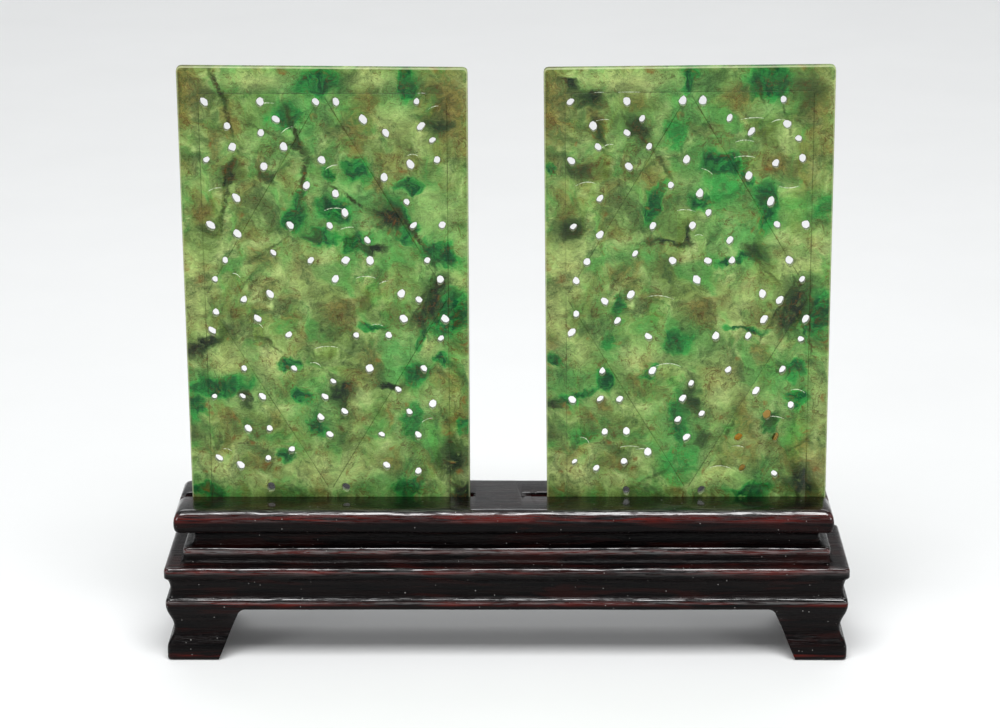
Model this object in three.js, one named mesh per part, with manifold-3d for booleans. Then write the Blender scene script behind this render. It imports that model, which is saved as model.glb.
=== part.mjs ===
// A pair of pierced jade plaques, standing upright side by side in the slots of one moulded hardwood stand.
// Millimetres, +Z up. The front faces -Y, and the origin is on the floor under the middle of the stand.
import * as THREE from "three";
import { mergeVertices } from "three/addons/utils/BufferGeometryUtils.js";
import Module from "manifold-3d";

const wasm = await Module();
wasm.setup();

// Plaques
const PLAQUE_WIDTH = 65;
const PLAQUE_HEIGHT = 108.5;
const PLAQUE_THICKNESS = 2;
const PLAQUE_CORNER_RADIUS = 1.2;
const PLAQUE_BEVEL = 0.25;

// Stand, overall at its ledge, which stands out furthest
const STAND_LENGTH = 158.6;
const STAND_DEPTH = 28.6;

// Heights of the stand's members, from the floor up
const FOOT_HEIGHT = 12.8;
const APRON_HEIGHT = 7.1;
const LEDGE_HEIGHT = 3.2;
const RIDGE_HEIGHT = 3.5;
const NECK_HEIGHT = 4;
const SLAB_HEIGHT = 5.4;

// How far the face of each member stands back from the ledge's face
const TOE_SETBACK = 0.1;
const FOOT_WAIST_SETBACK = 1.7;
const BEAD_SETBACK = 0.1;
const APRON_SETBACK = 1.2;
const RIDGE_SETBACK = 4.2;
const NECK_SETBACK = 6.6;
const SLAB_SETBACK = 3;
const TOP_SETBACK = 5.6;

// Smaller sizes of the mouldings
const TOE_HEIGHT = 2.6;
const TOE_ROUND = 0.7;
const FOOT_WAIST_HEIGHT = 7.6;
const FOOT_FLARE = 2.4;
const BEAD_NOSE_HEIGHT = 13.9;
const BEAD_TOP_HEIGHT = 15.4;
const BEAD_DEPTH = 0.7;
const LEDGE_ROUND = 1;
const RIDGE_THICKNESS = 1.7;
const RIDGE_ROUND = 0.8;
const SLAB_UNDERCUT = 1;
const SLAB_LOWER_ROUND = 2;

// Tunnel between the two end feet, which runs through from front to back
const FOOT_WIDTH_AT_FLOOR = 12;
const FOOT_WIDTH_AT_APRON = 17.4;
const TUNNEL_CORNER = 1.2;

// Slots, each sawn in from its own end of the stand
const SLOT_DEPTH = 7;
const SLOT_CLEARANCE = 0.3;
const SEAT_CLEARANCE = 0.3;
const RUN_OUT_DEPTH = 0.8;

// Each plaque: its side, its inner edge from the middle, its lean in degrees (positive to the left), how much its
// outer top corner rises, how far its slot runs on towards the middle, and the length of the saw's shallow run-out
const PLAQUES = {
  plaque_left: { side: -1, innerEdge: 8.5, lean: -0.1, topRise: 0.5, slotPast: 0.7, runOut: 0.5 },
  plaque_right: { side: 1, innerEdge: 9.5, lean: 0.48, topRise: 0, slotPast: 3.7, runOut: 2.3 },
};

// Piercings: small ovals of uneven size, drilled by hand to one pattern that both plaques share
const PIERCING_WIDTH = 1.66;
const PIERCING_LENGTH = 2.3;
const PIERCING_SIDES = 8;
const PIERCING_VARIATION = 0.14;
const PIERCING_TILT = 35;
const STOPPED_DEPTH = 0.9;

// The pattern's rows, in hundredths of a plaque's height down from its top and of its width across from its left edge
const PIERCING_ROWS = [
  [7.1, 9.2, 28.5, 47.7, 54.6, 82.3],
  [10.8, 33.8, 63.8],
  [12.2, 16.9, 83.8],
  [13.7, 28.5, 71.5],
  [15.2, 87.7],
  [16.6, 18.5, 36.2],
  [19.4, 9.2, 49.2, 89.2],
  [20.3, 80],
  [20.8, 29.2],
  [23, 70.8],
  [24.8, 43.8],
  [26.6, 53.8],
  [27.5, 19.2],
  [28.4, 78.5],
  [30.7, 56.9],
  [33.4, 10, 37.7, 51.5, 80.8, 90.8],
  [35.2, 19.2],
  [36.6, 64.6],
  [39.3, 31.5],
  [41, 14.6, 44.6, 56.9, 65.4, 85.4],
  [45.1, 10.8, 53.1, 90],
  [48.3, 30, 76.2],
  [49.6, 20.8, 82.3],
  [52.3, 10.8],
  [53.8, 25.4, 76.9, 91.5],
  [56.4, 9.2],
  [57.4, 36.2, 60, 71.5],
  [58.2, 90],
  [64.8, 20, 37.7, 64.6, 83.8],
  [67.7, 51.5],
  [69.5, 74.6],
  [71.1, 9.2, 19.2, 26.2, 48.5],
  [72.7, 86.9],
  [74.5, 55.4, 78.5],
  [75.8, 46.9],
  [78.3, 20.8, 28.5],
  [79.7, 50, 68.5, 81.5],
  [83, 36.2],
  [85, 10, 27.7],
  [86.6, 17.7, 70],
  [88, 81.5],
  [91.5, 28.5, 55.4],
];

// On the right plaque the pattern lies a little stretched, and these four of its piercings are stopped
const PATTERN_STRETCH = { plaque_left: 1.004, plaque_right: 1.014 };
const STOPPED = {
  plaque_left: [],
  plaque_right: ["74.5,78.5", "79.7,68.5", "79.7,81.5", "86.6,70"],
};

// Levels and places that follow from the sizes above
const LEDGE_LEVEL = FOOT_HEIGHT + APRON_HEIGHT;
const RIDGE_LEVEL = LEDGE_LEVEL + LEDGE_HEIGHT;
const NECK_LEVEL = RIDGE_LEVEL + RIDGE_HEIGHT;
const SLAB_LEVEL = NECK_LEVEL + NECK_HEIGHT;
const STAND_TOP = SLAB_LEVEL + SLAB_HEIGHT;
const HALF_LENGTH = STAND_LENGTH / 2;
const HALF_DEPTH = STAND_DEPTH / 2;
const SLOT_FLOOR = STAND_TOP - SLOT_DEPTH;

const MERGE_DISTANCE = 1e-4;
const CURVE_STEPS = 4;
const CORNER_STEPS = 3;
const HUNDREDTHS = 100;
const CUT_MARGIN = 2;

const jade = new THREE.MeshStandardMaterial({ color: 0x7f9c58, roughness: 0.25, metalness: 0, flatShading: true });
const hardwood = new THREE.MeshStandardMaterial({ color: 0x24100d, roughness: 0.3, metalness: 0, flatShading: true });

// A closed geometry as a solid: its shared corners are merged and its empty triangles dropped.
function solidOf(geometry) {
  const bare = geometry.clone();
  bare.deleteAttribute("normal");
  bare.deleteAttribute("uv");
  const merged = mergeVertices(bare, MERGE_DISTANCE);
  const corners = merged.index.array;
  const kept = [];
  for (let i = 0; i < corners.length; i += 3) {
    const [a, b, c] = corners.slice(i, i + 3);
    if (a !== b && b !== c && c !== a) kept.push(a, b, c);
  }
  const vertProperties = merged.attributes.position.array;
  return new wasm.Manifold(new wasm.Mesh({ numProp: 3, vertProperties, triVerts: new Uint32Array(kept) }));
}

function namedMesh(name, solid, material) {
  const { vertProperties, triVerts } = solid.getMesh();
  const geometry = new THREE.BufferGeometry();
  geometry.setAttribute("position", new THREE.BufferAttribute(vertProperties, 3));
  geometry.setIndex(new THREE.BufferAttribute(triVerts, 1));
  geometry.computeVertexNormals();
  const mesh = new THREE.Mesh(geometry, material);
  mesh.name = name;
  return mesh;
}

// A shape drawn as the front sees it, made a slab of the given thickness about the plane y = 0.
function frontExtrusion(shape, thickness, bevel = 0) {
  const geometry = new THREE.ExtrudeGeometry(shape, {
    depth: thickness - 2 * bevel,
    curveSegments: CORNER_STEPS,
    bevelEnabled: bevel > 0,
    bevelThickness: bevel,
    bevelSize: bevel,
    bevelOffset: -bevel,
    bevelSegments: 1,
  });
  geometry.rotateX(Math.PI / 2);
  geometry.translate(0, thickness / 2 - bevel, 0);
  return geometry;
}

// A fixed number between -1 and 1 for each seed, for what the hand left uneven.
function uneven(seed) {
  const value = Math.sin(seed * 12.9898) * 43758.5453;
  return 2 * (value - Math.floor(value)) - 1;
}

// A plaque's outline, its lower left corner at the origin and its corners rounded.
function plaqueOutline(topRise, side) {
  const r = PLAQUE_CORNER_RADIUS;
  const leftTop = PLAQUE_HEIGHT + (side < 0 ? topRise : 0);
  const rightTop = PLAQUE_HEIGHT + (side > 0 ? topRise : 0);
  const shape = new THREE.Shape();
  shape.moveTo(r, 0);
  shape.lineTo(PLAQUE_WIDTH - r, 0);
  shape.quadraticCurveTo(PLAQUE_WIDTH, 0, PLAQUE_WIDTH, r);
  shape.lineTo(PLAQUE_WIDTH, rightTop - r);
  shape.quadraticCurveTo(PLAQUE_WIDTH, rightTop, PLAQUE_WIDTH - r, rightTop);
  shape.lineTo(r, leftTop);
  shape.quadraticCurveTo(0, leftTop, 0, leftTop - r);
  shape.lineTo(0, r);
  shape.quadraticCurveTo(0, 0, r, 0);
  return shape;
}

// One piercing's cutter: an uneven oval, turned a little, that goes through or stops short in a pit.
function piercingCutter(across, height, seed, stopped) {
  const turn = THREE.MathUtils.degToRad(PIERCING_TILT * uneven(seed));
  const size = 1 + PIERCING_VARIATION * uneven(seed + 0.37);
  const rim = [];
  for (let i = 0; i < PIERCING_SIDES; i++) {
    const angle = (2 * Math.PI * i) / PIERCING_SIDES;
    const radius = size * (1 + PIERCING_VARIATION * uneven(seed + 0.11 * i));
    const point = new THREE.Vector2(
      (PIERCING_WIDTH / 2) * radius * Math.cos(angle),
      (PIERCING_LENGTH / 2) * radius * Math.sin(angle),
    );
    rim.push(point.rotateAround(new THREE.Vector2(), turn));
  }
  const length = PLAQUE_THICKNESS + 2 * CUT_MARGIN;
  const cutter = frontExtrusion(new THREE.Shape(rim), length);
  const pullBack = stopped ? PLAQUE_THICKNESS - STOPPED_DEPTH + CUT_MARGIN : 0;
  return solidOf(cutter.translate(across, -pullBack, height));
}

function makePlaque(name) {
  const { side, innerEdge, lean, topRise } = PLAQUES[name];
  let slice = solidOf(frontExtrusion(plaqueOutline(topRise, side), PLAQUE_THICKNESS, PLAQUE_BEVEL));
  let seed = side;
  for (const [down, ...places] of PIERCING_ROWS) {
    for (const place of places) {
      const across = (place * PLAQUE_WIDTH) / HUNDREDTHS;
      const fromTop = (down * PATTERN_STRETCH[name] * PLAQUE_HEIGHT) / HUNDREDTHS;
      const stopped = STOPPED[name].includes(`${down},${place}`);
      seed += side;
      slice = slice.subtract(piercingCutter(across, PLAQUE_HEIGHT - fromTop, seed, stopped));
    }
  }
  const mesh = namedMesh(name, slice, jade);
  const left = side < 0 ? -innerEdge - PLAQUE_WIDTH : innerEdge;
  const pivot = lean < 0 ? PLAQUE_WIDTH : 0;
  mesh.geometry.translate(-pivot, 0, 0);
  mesh.rotation.y = -THREE.MathUtils.degToRad(lean);
  mesh.position.set(left + pivot, 0, SLOT_FLOOR + SEAT_CLEARANCE);
  return mesh;
}

// The stand's moulding from the floor up, as distances out from the middle of its depth and heights.
function standProfile() {
  const out = (setback) => HALF_DEPTH - setback;
  const ledgeTop = LEDGE_LEVEL + LEDGE_HEIGHT;
  const ridgeLip = NECK_LEVEL - RIDGE_THICKNESS;
  const profile = new THREE.Path();
  profile.moveTo(0, 0);
  profile.lineTo(out(TOE_SETBACK + TOE_ROUND), 0);
  profile.quadraticCurveTo(out(TOE_SETBACK), 0, out(TOE_SETBACK), TOE_ROUND);
  profile.lineTo(out(TOE_SETBACK), TOE_HEIGHT);
  profile.bezierCurveTo(
    out(TOE_SETBACK),
    TOE_HEIGHT + FOOT_FLARE,
    out(FOOT_WAIST_SETBACK),
    FOOT_WAIST_HEIGHT - FOOT_FLARE,
    out(FOOT_WAIST_SETBACK),
    FOOT_WAIST_HEIGHT,
  );
  profile.bezierCurveTo(
    out(FOOT_WAIST_SETBACK),
    FOOT_WAIST_HEIGHT + FOOT_FLARE,
    out(BEAD_SETBACK),
    BEAD_NOSE_HEIGHT - FOOT_FLARE,
    out(BEAD_SETBACK),
    BEAD_NOSE_HEIGHT,
  );
  profile.quadraticCurveTo(out(BEAD_SETBACK), BEAD_TOP_HEIGHT, out(BEAD_SETBACK + BEAD_DEPTH), BEAD_TOP_HEIGHT);
  profile.quadraticCurveTo(
    out(2 * APRON_SETBACK - BEAD_DEPTH),
    (BEAD_TOP_HEIGHT + LEDGE_LEVEL) / 2,
    out(BEAD_DEPTH),
    LEDGE_LEVEL,
  );
  profile.lineTo(out(0), LEDGE_LEVEL + BEAD_DEPTH);
  profile.lineTo(out(0), ledgeTop - LEDGE_ROUND);
  profile.quadraticCurveTo(out(0), ledgeTop, out(LEDGE_ROUND), ledgeTop);
  profile.quadraticCurveTo(out(RIDGE_SETBACK + RIDGE_ROUND), ledgeTop, out(RIDGE_SETBACK), ridgeLip);
  profile.lineTo(out(RIDGE_SETBACK), NECK_LEVEL - RIDGE_ROUND);
  profile.quadraticCurveTo(out(RIDGE_SETBACK), NECK_LEVEL, out(RIDGE_SETBACK + RIDGE_ROUND), NECK_LEVEL);
  profile.quadraticCurveTo(
    out(NECK_SETBACK),
    NECK_LEVEL,
    out(NECK_SETBACK),
    NECK_LEVEL + NECK_HEIGHT / 2,
  );
  profile.quadraticCurveTo(out(NECK_SETBACK), SLAB_LEVEL, out(SLAB_SETBACK + SLAB_UNDERCUT), SLAB_LEVEL);
  profile.quadraticCurveTo(out(SLAB_SETBACK), SLAB_LEVEL, out(SLAB_SETBACK), SLAB_LEVEL + SLAB_LOWER_ROUND);
  profile.quadraticCurveTo(out(SLAB_SETBACK), STAND_TOP, out(TOP_SETBACK), STAND_TOP);
  profile.lineTo(0, STAND_TOP);
  return profile.getPoints(CURVE_STEPS);
}

// The moulding carried round four mitred sides: a four-sided turning, its two ends drawn apart to the full length.
function standBlock() {
  const toCorner = Math.SQRT2;
  const turned = standProfile().map((point) => new THREE.Vector2(point.x * toCorner, point.y));
  const block = new THREE.LatheGeometry(turned, 4, Math.PI / 4);
  block.rotateX(Math.PI / 2);
  const drawApart = HALF_LENGTH - HALF_DEPTH;
  const places = block.attributes.position;
  for (let i = 0; i < places.count; i++) {
    const x = places.getX(i);
    if (Math.abs(x) > MERGE_DISTANCE) places.setX(i, x + Math.sign(x) * drawApart);
  }
  return solidOf(block);
}

// The open space between the end feet, its sides sloping and its upper corners softened.
function tunnelCutter() {
  const floorX = HALF_LENGTH - FOOT_WIDTH_AT_FLOOR;
  const apronX = HALF_LENGTH - FOOT_WIDTH_AT_APRON;
  const slope = (floorX - apronX) / FOOT_HEIGHT;
  const cornerX = apronX + slope * TUNNEL_CORNER;
  const below = -CUT_MARGIN;
  const shape = new THREE.Shape();
  shape.moveTo(floorX - slope * below, below);
  shape.lineTo(cornerX, FOOT_HEIGHT - TUNNEL_CORNER);
  shape.quadraticCurveTo(apronX, FOOT_HEIGHT, apronX - TUNNEL_CORNER, FOOT_HEIGHT);
  shape.lineTo(TUNNEL_CORNER - apronX, FOOT_HEIGHT);
  shape.quadraticCurveTo(-apronX, FOOT_HEIGHT, -cornerX, FOOT_HEIGHT - TUNNEL_CORNER);
  shape.lineTo(slope * below - floorX, below);
  return solidOf(frontExtrusion(shape, STAND_DEPTH + 2 * CUT_MARGIN));
}

// One plaque's slot, open at the end of the stand, with the saw's shallow run-out at its inner end.
function slotCutter({ side, innerEdge, slotPast, runOut }) {
  const inner = side * (innerEdge - slotPast);
  const outer = side * (HALF_LENGTH + CUT_MARGIN);
  const above = STAND_TOP + CUT_MARGIN;
  const shape = new THREE.Shape();
  shape.moveTo(outer, SLOT_FLOOR);
  shape.lineTo(outer, above);
  shape.lineTo(inner - side * runOut, above);
  shape.lineTo(inner - side * runOut, STAND_TOP);
  shape.lineTo(inner, STAND_TOP - RUN_OUT_DEPTH);
  shape.lineTo(inner, SLOT_FLOOR);
  return solidOf(frontExtrusion(shape, PLAQUE_THICKNESS + 2 * SLOT_CLEARANCE));
}

function makeStand() {
  let block = standBlock().subtract(tunnelCutter());
  for (const plaque of Object.values(PLAQUES)) block = block.subtract(slotCutter(plaque));
  return namedMesh("stand", block, hardwood);
}

const group = new THREE.Group();
group.add(makeStand());
for (const name of Object.keys(PLAQUES)) group.add(makePlaque(name));

export default group;
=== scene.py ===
"""A pair of pierced jade plaques in the slots of a moulded hardwood stand, in a pale studio."""
import math

import bmesh
import bpy
from mathutils import Matrix, Vector, noise


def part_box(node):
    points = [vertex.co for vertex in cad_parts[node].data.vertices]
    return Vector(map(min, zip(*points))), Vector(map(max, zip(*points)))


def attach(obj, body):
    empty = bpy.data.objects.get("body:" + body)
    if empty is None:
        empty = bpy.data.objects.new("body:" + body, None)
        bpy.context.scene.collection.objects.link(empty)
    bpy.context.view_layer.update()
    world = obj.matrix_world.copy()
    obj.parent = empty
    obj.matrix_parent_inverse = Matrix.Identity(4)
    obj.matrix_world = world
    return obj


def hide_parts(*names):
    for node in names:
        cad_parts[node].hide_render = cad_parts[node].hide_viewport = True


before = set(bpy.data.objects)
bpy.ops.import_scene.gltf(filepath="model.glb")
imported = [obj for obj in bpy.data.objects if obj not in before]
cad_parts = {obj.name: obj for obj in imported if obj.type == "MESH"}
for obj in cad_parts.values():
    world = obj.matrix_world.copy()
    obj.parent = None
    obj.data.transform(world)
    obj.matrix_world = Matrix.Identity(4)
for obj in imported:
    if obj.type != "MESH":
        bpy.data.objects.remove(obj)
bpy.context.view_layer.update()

MM = 0.001

# Plaques
PLAQUE_WIDTH = 65 * MM
PLAQUE_HEIGHT = 108.5 * MM
PLAQUE_LEAN = {"plaque_left": math.radians(-0.1), "plaque_right": math.radians(0.48)}
RIM_BEVEL = 0.13 * MM
WALL_ROUND = 0.16 * MM
EDGE_BEVEL = 0.08 * MM
DRILL_REACH = 0.6 * MM
PLAQUE_MARGIN = 1.6 * MM
CLOSE = 0.01 * MM

# Incised lines: a frame, a rhombus inside it, and short bowed strokes
LINE_DEPTH = 0.1 * MM
FRAME_SIDE = 4.7
FRAME_TOP = 5.7
FRAME_FOOT = 103
RHOMBUS_MIDDLE = 53.2
RHOMBUS_FOOT = 100.5
LINE_GAP = 0.5

# Stand: sizes of its moulding, as on the solid
FOOT_HEIGHT = 12.8
LEDGE_LEVEL = 19.9
LEDGE_TOP = 23.1
NECK_LEVEL = 26.6
SLAB_LEVEL = 30.6
TOE_SETBACK = 0.1
FOOT_WAIST_SETBACK = 1.7
BEAD_SETBACK = 0.1
APRON_SETBACK = 1.2
RIDGE_SETBACK = 4.2
NECK_SETBACK = 6.6
SLAB_SETBACK = 3.0
TOP_SETBACK = 5.6
TOE_HEIGHT = 2.6
TOE_ROUND = 0.7
FOOT_WAIST_HEIGHT = 7.6
FOOT_FLARE = 2.4
BEAD_NOSE_HEIGHT = 13.9
BEAD_TOP_HEIGHT = 15.4
BEAD_DEPTH = 0.7
LEDGE_ROUND = 1.0
COVE_REACH = 1.2
RIDGE_THICKNESS = 1.7
RIDGE_ROUND = 0.8
SLAB_UNDERCUT = 1.0
SLAB_LOWER_ROUND = 2.0
FOOT_WIDTH_AT_FLOOR = 12
FOOT_WIDTH_AT_APRON = 17.4
TUNNEL_CORNER = 1.2
SLOT_DEPTH = 7
SLOT_WIDTH = 2.6
RUN_OUT_DEPTH = 0.8
SLOTS = {
    "left": {"side": -1, "inner": 7.8, "run_out": 0.5},
    "right": {"side": 1, "inner": 5.8, "run_out": 2.3},
}
# How far the hand let the slab drift to the left of the base, and how unevenly it pared the mouldings: the
# reach of each wave, and how far it spreads along, across and up
SLAB_DRIFT = -0.7
HAND_SEED = 5
HAND_WAVE = 0.15
HAND_SPREAD = (17, 9, 3.1)
GRAIN_WAVE = 0.075
GRAIN_SPREAD = (7, 0.9, 0.7)
SECTION_SPACING = 1.8
MITRE_ROUND = 0.9
ARRIS_ROUND = 0.16
CUT_MARGIN = 2

# Stone patches: across and down from the plaque's top left corner, half width, half height, turn in degrees
# and strength. A positive turn lifts a patch's right end.
PATCHES = {
    "plaque_left": {
        "green": [
            (28, 6, 10, 6, 0, 1), (51, 5, 5, 6, 0, 1), (36, 33, 12, 9, 0, 1), (57, 38, 8, 12, 0, 1),
            (59, 60, 7, 9, 0, 1), (8, 75, 11, 4, 0, 1), (50, 66, 7, 9, 0, 0.9), (53, 84, 6, 8, 0, 0.8),
            (29, 80, 5, 7, 0, 0.9), (24, 15, 7, 6, 0, 1), (4, 98, 6, 4, 0, 0.8), (45, 99, 9, 4, 0, 0.8),
        ],
        "emerald": [
            (32, 3, 4.5, 3, 0, 1), (51, 3, 1.7, 3.5, 0, 1), (24.3, 11, 3.5, 3, 0, 0.8),
            (40.3, 23.6, 3.2, 2.4, -20, 1), (33.5, 24.5, 1.5, 2.3, 0, 0.8), (26.8, 32.8, 2, 5.4, -15, 1),
            (25.5, 35.3, 3.2, 1.8, 0, 1), (35, 32.8, 3.6, 3, 0, 1), (31.5, 39, 4, 1.6, -10, 0.9),
            (39.5, 40.5, 4, 2.2, 0, 0.9), (50.5, 35.5, 1.9, 6, 28, 1), (51.7, 27, 2.6, 1.6, 0, 1),
            (58.5, 42.5, 4.5, 2.6, -15, 1), (60.8, 57, 4.8, 5.5, 0, 1), (43, 60.5, 3.4, 1.4, 0, 1),
            (54.5, 62, 1.6, 4, -38, 0.9), (58.8, 68, 2.4, 1.6, 0, 1), (52, 72, 2.6, 3, 0, 0.8),
            (23.8, 69.6, 2.4, 1.4, 0, 1), (6.5, 75, 8, 2, 5, 0.9), (1, 80, 2.2, 3, 0, 0.9),
            (27, 77.5, 2.2, 2, -40, 0.9), (30, 84.3, 2.4, 2, 0, 1), (51.8, 83, 2.6, 4.5, 0, 0.7),
            (63.3, 83.5, 1.6, 2.6, 0, 0.8), (22.4, 92, 2.4, 1.7, 0, 0.9), (4, 100.3, 4.5, 1.4, 0, 0.9),
            (51, 99.5, 3.6, 2, 0, 1),
        ],
        "dark": [
            (11.4, 24.5, 1.5, 2.5, 0, 1), (26, 17, 2.6, 1.2, -30, 0.8), (46.6, 34.4, 3.2, 2.4, -15, 1),
            (44, 41.7, 3.2, 1.1, 0, 0.9), (58, 13.7, 2.4, 2.6, 0, 0.8), (4.3, 65, 5, 1.6, 25, 0.9),
            (36, 76, 2.4, 2.4, 0, 1), (46, 74.6, 3.4, 1.1, 5, 0.9), (61.5, 93, 3.4, 6, 0, 0.8),
            (63.5, 101, 3, 3, 0, 1), (20, 25.5, 3, 1.2, -35, 0.6), (13, 77.5, 1.3, 2, 0, 0.9),
            (58, 51, 2, 3.4, -30, 1), (56, 55.5, 2.2, 5.4, -38, 1), (29, 38.5, 2.2, 1, 0, 0.5),
        ],
        "brown": [
            (1.5, 5, 5, 8, 0, 1), (7.8, 17.5, 1.6, 3.4, 0, 0.8), (60.5, 8, 6, 9, 0, 0.95),
            (40, 13.5, 3.6, 4.5, 0, 0.7), (44.3, 26.5, 2.2, 1.8, 0, 0.9), (4, 33.2, 3, 1.8, 0, 0.9),
            (18, 44, 3, 3, 0, 0.7), (24.3, 56.7, 2.4, 2, 0, 0.8), (35, 56, 4, 3, 0, 0.6),
            (42.5, 68.5, 3.2, 4, 0, 0.7), (59, 72.5, 2.6, 1.8, 0, 0.8), (46.4, 82, 0.9, 3.6, 0, 1),
            (61, 82, 1, 4, -25, 0.9), (19.5, 82.5, 1.6, 2.8, 0, 0.7), (46, 92.8, 3.4, 3, 0, 0.7),
            (8, 82.5, 3.5, 2.5, 0, 0.6), (60, 26, 3, 3, 0, 0.5),
        ],
        "pale": [
            (18, 2.5, 5.5, 2, 0, 0.9), (44, 2.5, 4, 2, 0, 0.8), (1.8, 51.5, 3, 8, 0, 0.9),
            (9.5, 68, 5, 3.4, 0, 0.8), (30.4, 31, 2, 2, 0, 0.7), (26, 48, 7, 5, 0, 0.5),
            (56, 65, 2.4, 2.8, 0, 0.9), (19.5, 71, 3.5, 5, -30, 0.6), (48.5, 13, 4, 3.6, 0, 0.6),
            (62.5, 50, 2.4, 2.6, 0, 0.8), (32, 95, 8, 3.6, 0, 0.6), (7, 95.5, 4, 3, 0, 0.7),
            (58.5, 33, 5, 4.5, 0, 0.6),
        ],
    },
    "plaque_right": {
        "green": [
            (33, 6, 7, 7, 0, 1), (51, 5, 8, 6, 0, 1), (39, 24, 9, 8, 0, 1), (43, 38, 8, 7, 0, 1),
            (50, 33, 5, 8, 0, 1), (61, 60, 5, 9, 0, 1), (30, 64, 9, 5, 0, 0.9), (15, 63, 6, 9, 0, 0.7),
            (31, 86, 7, 9, 0, 1), (56, 76, 8, 8, 0, 0.9), (8, 74, 8, 6, 0, 0.9), (20, 44, 9, 4, 0, 0.6),
            (22, 15, 6, 6, 0, 0.9), (62, 33, 4, 6, 0, 0.8), (47, 99, 9, 4, 0, 0.8), (25, 31, 6, 7, 0, 0.7),
        ],
        "emerald": [
            (32.5, 2.5, 2, 3, 0, 0.9), (50, 3.5, 5, 3.5, 0, 1), (1, 23, 1.6, 1.4, 0, 1),
            (40.5, 22.5, 4.6, 2.8, -15, 1), (25, 31.5, 1.7, 5, -20, 1), (35.5, 31, 2.4, 2, 0, 0.9),
            (40.5, 28.5, 5.5, 3.8, 0, 0.5), (50.3, 32, 2.2, 5, 0, 1), (46, 26, 3, 1.2, -50, 0.9),
            (43.5, 44.3, 5.5, 1.1, 8, 1), (63, 58, 2.8, 5, 0, 1), (60.3, 58.5, 0.8, 6, 0, 0.9),
            (45.5, 61.3, 4.6, 0.7, 0, 1), (30, 64, 3.4, 2.6, 0, 0.8), (15.3, 64.5, 1.8, 2.4, 0, 0.6),
            (17.5, 55.5, 1.4, 3.2, 0, 0.8), (13.3, 73.5, 1.8, 2.6, 20, 1), (8.5, 76, 4, 1, 10, 0.8),
            (1.2, 68.2, 2.4, 1.5, 0, 0.9), (5, 78, 3.2, 1.6, 0, 0.8), (31, 83, 2, 6.5, 0, 0.8),
            (31, 93.5, 4.6, 5, 0, 0.5), (57, 71, 3, 2.2, 0, 0.9), (57.3, 78, 2, 2.2, 0, 0.9),
            (52, 84, 2, 2.4, 0, 0.7), (8.5, 87, 4, 2.6, 0, 0.5), (24.3, 72, 1.6, 2, 0, 0.8),
            (47, 100.5, 5, 1.4, 0, 0.9), (29.5, 14.5, 2.6, 4, 0, 0.6), (63, 33, 2, 3.4, 0, 0.6),
        ],
        "dark": [
            (10.5, 7.5, 2.6, 2.4, 0, 0.9), (6, 3.5, 2, 1.2, 0, 0.9), (21, 13.5, 3.4, 2.8, -20, 0.7),
            (12, 14.5, 1.4, 2.4, 0, 0.7), (56.6, 56.6, 3.2, 6.6, -28, 1), (59, 5.5, 4, 4.5, 0, 0.5),
            (32, 39, 0.7, 2, 0, 0.8), (8, 23.5, 3, 2.2, 0, 0.6), (5.7, 37, 3, 2, 30, 0.7),
            (48.5, 43, 3, 1.8, -20, 0.7), (34, 78, 1.8, 4, 0, 0.8), (36, 87.5, 1.8, 1.8, 0, 0.6),
            (59.5, 98.5, 3.4, 3.4, 0, 0.9), (1.2, 79.5, 2, 1.4, 0, 0.7), (28, 40.6, 5, 0.7, 0, 0.8),
            (52, 83.5, 1.6, 1.8, 0, 0.6),
        ],
        "brown": [
            (1.5, 9.5, 5, 9.5, 0, 1), (20.8, 8, 3, 2, 0, 0.7), (60, 6, 5, 7, 0, 0.8),
            (61, 96, 5, 6, 0, 0.9), (44.5, 7, 3.6, 3.6, 0, 0.8), (52, 23, 2.8, 2.6, 0, 1),
            (59, 24, 5, 6, 0, 0.6), (24.5, 26, 4, 4, 0, 0.7), (18.5, 47, 5, 1.8, 10, 0.8),
            (35, 56.5, 4, 3.6, 0, 0.6), (49, 67, 1.4, 3.4, 0, 0.8), (22.3, 72, 1.3, 3.6, -30, 0.8),
            (12.8, 79.5, 1.6, 1.2, 0, 1), (46, 84, 2.2, 6, 15, 0.8), (45, 91, 4.5, 3.5, 0, 0.7),
            (59.5, 90, 2.4, 2.6, 0, 0.7), (1.5, 64.5, 2, 2.4, 0, 0.7), (9, 24, 4, 3, 0, 0.5),
            (4, 28, 4, 3, 0, 0.4), (40, 8, 3, 2, 0, 0.4),
        ],
        "pale": [
            (19, 2.8, 10, 2.6, 0, 0.9), (4.5, 46, 4, 6, 0, 0.8), (57.5, 45, 4.5, 4.4, 0, 0.6),
            (44, 54, 4.5, 5.5, 0, 0.6), (8, 65.5, 4.4, 3.4, 0, 0.6), (25, 68, 6, 3.6, 0, 0.5),
            (5.5, 97, 5, 2.8, 0, 0.8), (40, 74.5, 5, 6, 0, 0.5), (63, 78.5, 2.4, 7, 0, 0.7),
            (40, 97.5, 5, 2.4, 0, 0.5), (63.6, 95.5, 1.5, 4.6, 0, 0.6), (2, 56, 2.5, 6, 0, 0.8),
        ],
    },
}

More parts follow.
